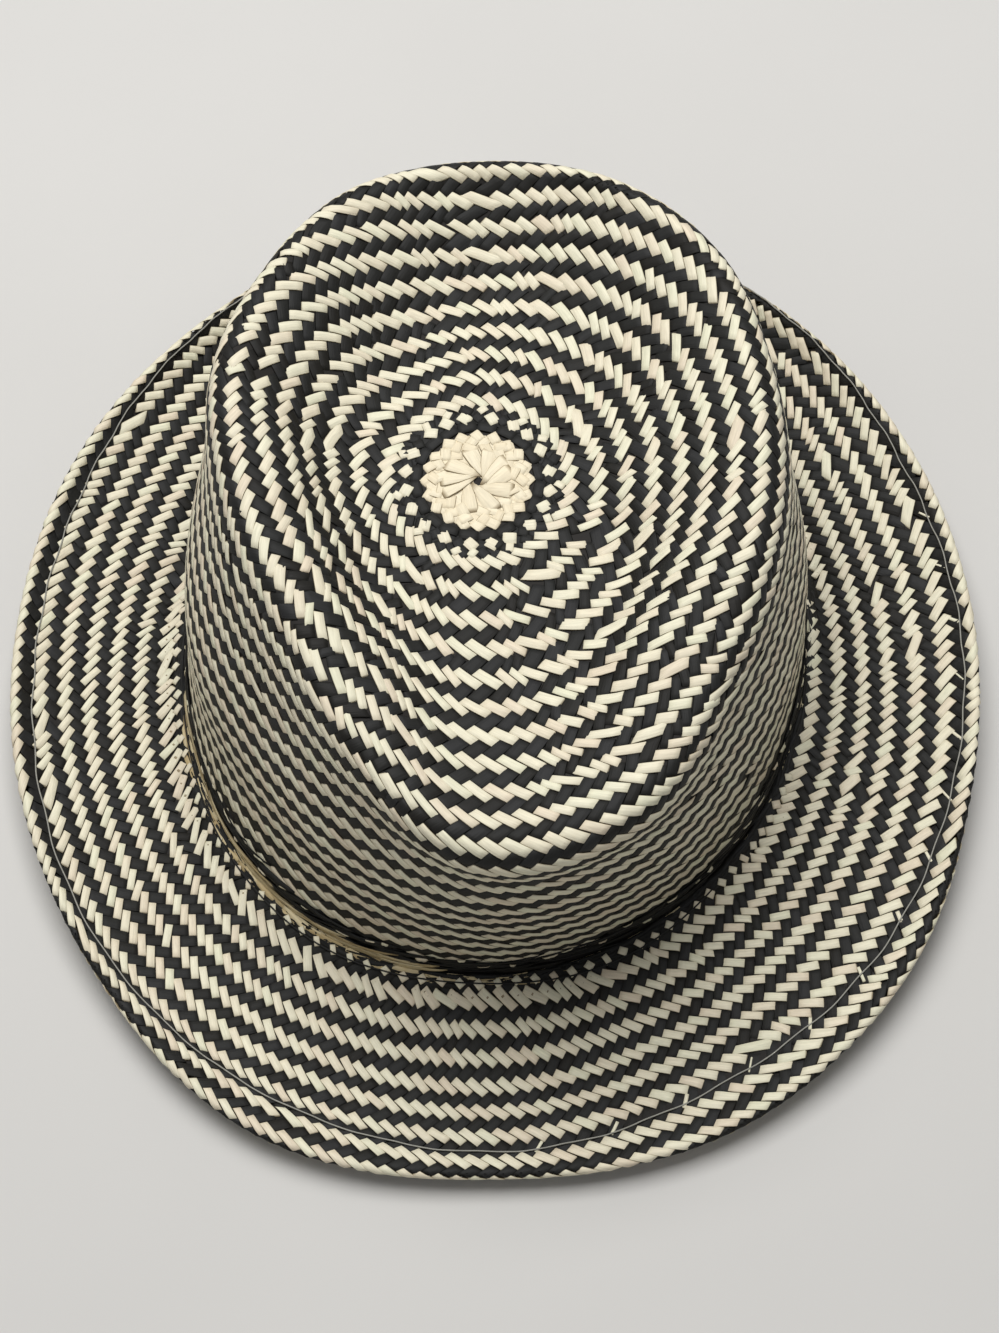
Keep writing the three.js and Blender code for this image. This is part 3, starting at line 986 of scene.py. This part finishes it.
# Turns from the front and ring numbers of the black thread
THREAD_AT = ((-0.24, -0.05, 0.0, 0.03, 0.06, 0.1), (0.28, 0.38, 0.54, 0.6, 0.56, 0.42))
THREAD_POINTS = 300
thread_from_front = np.linspace(THREAD_AT[0][0], THREAD_AT[0][-1], THREAD_POINTS)
thread_rings = np.interp(thread_from_front, *THREAD_AT) + 0.02 * np.sin(60 * thread_from_front)
half_round = COLUMNS_ROUND // 2
wrapped = np.concatenate([brim.points[:, LAP + half_round:LAP + COLUMNS_ROUND],
                          brim.points[:, LAP:LAP + half_round + 1]], axis=1)
front_turns = np.arange(-half_round, half_round + 1) / COLUMNS_ROUND
front_sheet = Sheet(front_turns, brim.y, wrapped, outward(wrapped))
tube("foot_thread", BLACK_THREAD, thread_from_front, thread_rings, front_sheet, THREAD_RADIUS,
     height=np.full(THREAD_POINTS, 0.45), closed=False)

# Undyed slivers that cross the black straws by the hem

SLIVERS = 14
SLIVER_RING = 6.45
sliver_turns = sector(0.0, 0.3, SLIVERS)
slivers = strips(
    brim, sliver_turns, SLIVER_RING + rng.normal(0, 0.04, SLIVERS), length=rng.uniform(3.2, 4.4, SLIVERS),
    width=rng.uniform(0.5, 1.3, SLIVERS), tilt=np.radians(rng.normal(-52, 6, SLIVERS)))
lay("hem_slivers", brim, FLOAT, CREAM_STRAW, (*slivers, rng.uniform(0.1, 0.6, SLIVERS)),
    lift=(0.0, 0.08), roll=0.04)

# The hidden crossings inside the wall, which close it behind the floats


def closed_skin(name, rows, finish):
    """A closed body over rings of points; a row of one point closes an end."""
    points = np.concatenate(rows)
    starts = np.cumsum([0] + [len(row) for row in rows])
    around = max(len(row) for row in rows)
    looped = len(rows[0]) > 1
    faces = []
    for j in range(len(rows) if looped else len(rows) - 1):
        k = (j + 1) % len(rows)
        for i in range(around):
            corners = (starts[j] + i % len(rows[j]), starts[k] + i % len(rows[k]),
                       starts[k] + (i + 1) % len(rows[k]), starts[j] + (i + 1) % len(rows[j]))
            faces.append(tuple(int(c) for c in dict.fromkeys(corners)))
    made = new_object(name, mesh_of(name, points, faces))
    made.data.materials.append(finish)
    pieces.append(made)
    return made


SINK = 0.5                   # how far the hidden straws lie under the floats
HIDDEN_ROUND = 240
hidden_turns = np.arange(HIDDEN_ROUND) / HIDDEN_ROUND


def sunk(lines, depth):
    """Lines that go once round the hat, moved into the wall."""
    return lines - depth * outward(np.concatenate([lines[:, -1:], lines, lines[:, :1]], axis=1))[:, 1:-1]


wall_rows = crown_lines(hidden_turns)[2:FOOT + LINE_STEPS + 1:2]
top, ceiling = (np.array([[*(BUTTON[:2] + AXIS[:2]), BUTTON[2] - d]]) for d in (SINK, WALL - SINK))
crown_hidden = closed_skin(
    "crown_weave", [top, *sunk(wall_rows, SINK), *sunk(wall_rows, WALL - SINK)[::-1], ceiling], HIDDEN_STRAW)
plate_rows = brim_lines(hidden_turns)[LINE_STEPS + 6:-3]
hem_share = np.arange(len(plate_rows)) > len(plate_rows) - LINE_STEPS
hem_depth = np.where(hem_share, HEM_WALL - SINK, WALL - SINK)[:, None, None]
upper_depth = np.where(hem_share, SINK + GUTTER, SINK)[:, None, None]
brim_hidden = closed_skin(
    "brim_weave", [*sunk(plate_rows, upper_depth), *sunk(plate_rows, hem_depth)[::-1]], HIDDEN_STRAW)

# Straw round the foot

STRAND_OUTLINE = ((0.0, STRAND_RISE), (STRAND_TOP, STRAND_RISE), (STRAND_WIDTH, STRAND_EDGE),
                  (STRAND_WIDTH, 0.0), (0.0, 0.0))
strand_turns = np.arange(COLUMNS_ROUND) / COLUMNS_ROUND
inside_r = strand_radius(sections_at(strand_turns))
strand_rows = [place_at(strand_turns, inside_r + out, WALL + GAP + up) for out, up in STRAND_OUTLINE]
base_strand = closed_skin("base_straw", strand_rows, TAN_STRAW)

# What stands for what

for helper in (*charts, *SHAPES):
    bpy.data.objects.remove(helper)
for piece in pieces:
    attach(piece, "root")
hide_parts("crown")
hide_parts("brim")
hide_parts("base_strand")

# Floor, light and camera

# matt card, pale and without gloss
CARD = plain_material("pale_card", "d9d7d3", "d2d0cc", roughness=0.9, scale=8)
FLOOR_REACH = 4000
FLOOR_Z = -0.05
floor_corners = [(x * FLOOR_REACH, y * FLOOR_REACH, FLOOR_Z)
                 for x, y in ((-1, -1), (1, -1), (1, 1), (-1, 1))]
floor = new_object("floor", mesh_of("floor", floor_corners, [(0, 1, 2, 3)], smooth=False))
floor.data.materials.append(CARD)


def aim(thing, target):
    """Turns a light or camera to look at a point, level with the floor."""
    away = np.array(thing.location) - np.array(target)
    flat = math.hypot(away[0], away[1])
    thing.rotation_euler = (math.atan2(flat, away[2]), 0.0, math.atan2(away[0], -away[1]))


def soft_light(name, place, size, power):
    """A square light that looks at the hat."""
    lamp = bpy.data.lights.new(name, "AREA")
    lamp.size = size
    lamp.energy = power
    made = new_object(name, lamp)
    made.location = place
    aim(made, (0.0, 0.0, 0.05))
    return made


soft_light("overhead_light", place=(-0.15, 0.5, 1.5), size=1.1, power=25.5)
soft_light("front_fill", place=(-0.7, -1.2, 1.0), size=1.0, power=0.8)

world = bpy.data.worlds.new("studio")
world.use_nodes = True
background = world.node_tree.nodes["Background"].inputs
background["Color"].default_value = linear("f2f3f5")
background["Strength"].default_value = 0.2
bpy.context.scene.world = world
bpy.context.scene.view_settings.view_transform = "Standard"

CAMERA_AT = (1.03, -291.8, 634.4)
LOOKS_AT = (1.03, 4.04, 0.0)
IMAGE_HEIGHT = 1333          # pixels
FOCAL_PIXELS = 2478.0
SENSOR = 36.0
camera = bpy.data.objects.new("camera", bpy.data.cameras.new("camera"))
camera.data.sensor_fit = "VERTICAL"
camera.data.sensor_height = SENSOR
camera.data.lens = SENSOR * FOCAL_PIXELS / IMAGE_HEIGHT
camera.location = [v * MM for v in CAMERA_AT]
aim(camera, [v * MM for v in LOOKS_AT])
bpy.context.collection.objects.link(camera)
bpy.context.scene.camera = camera
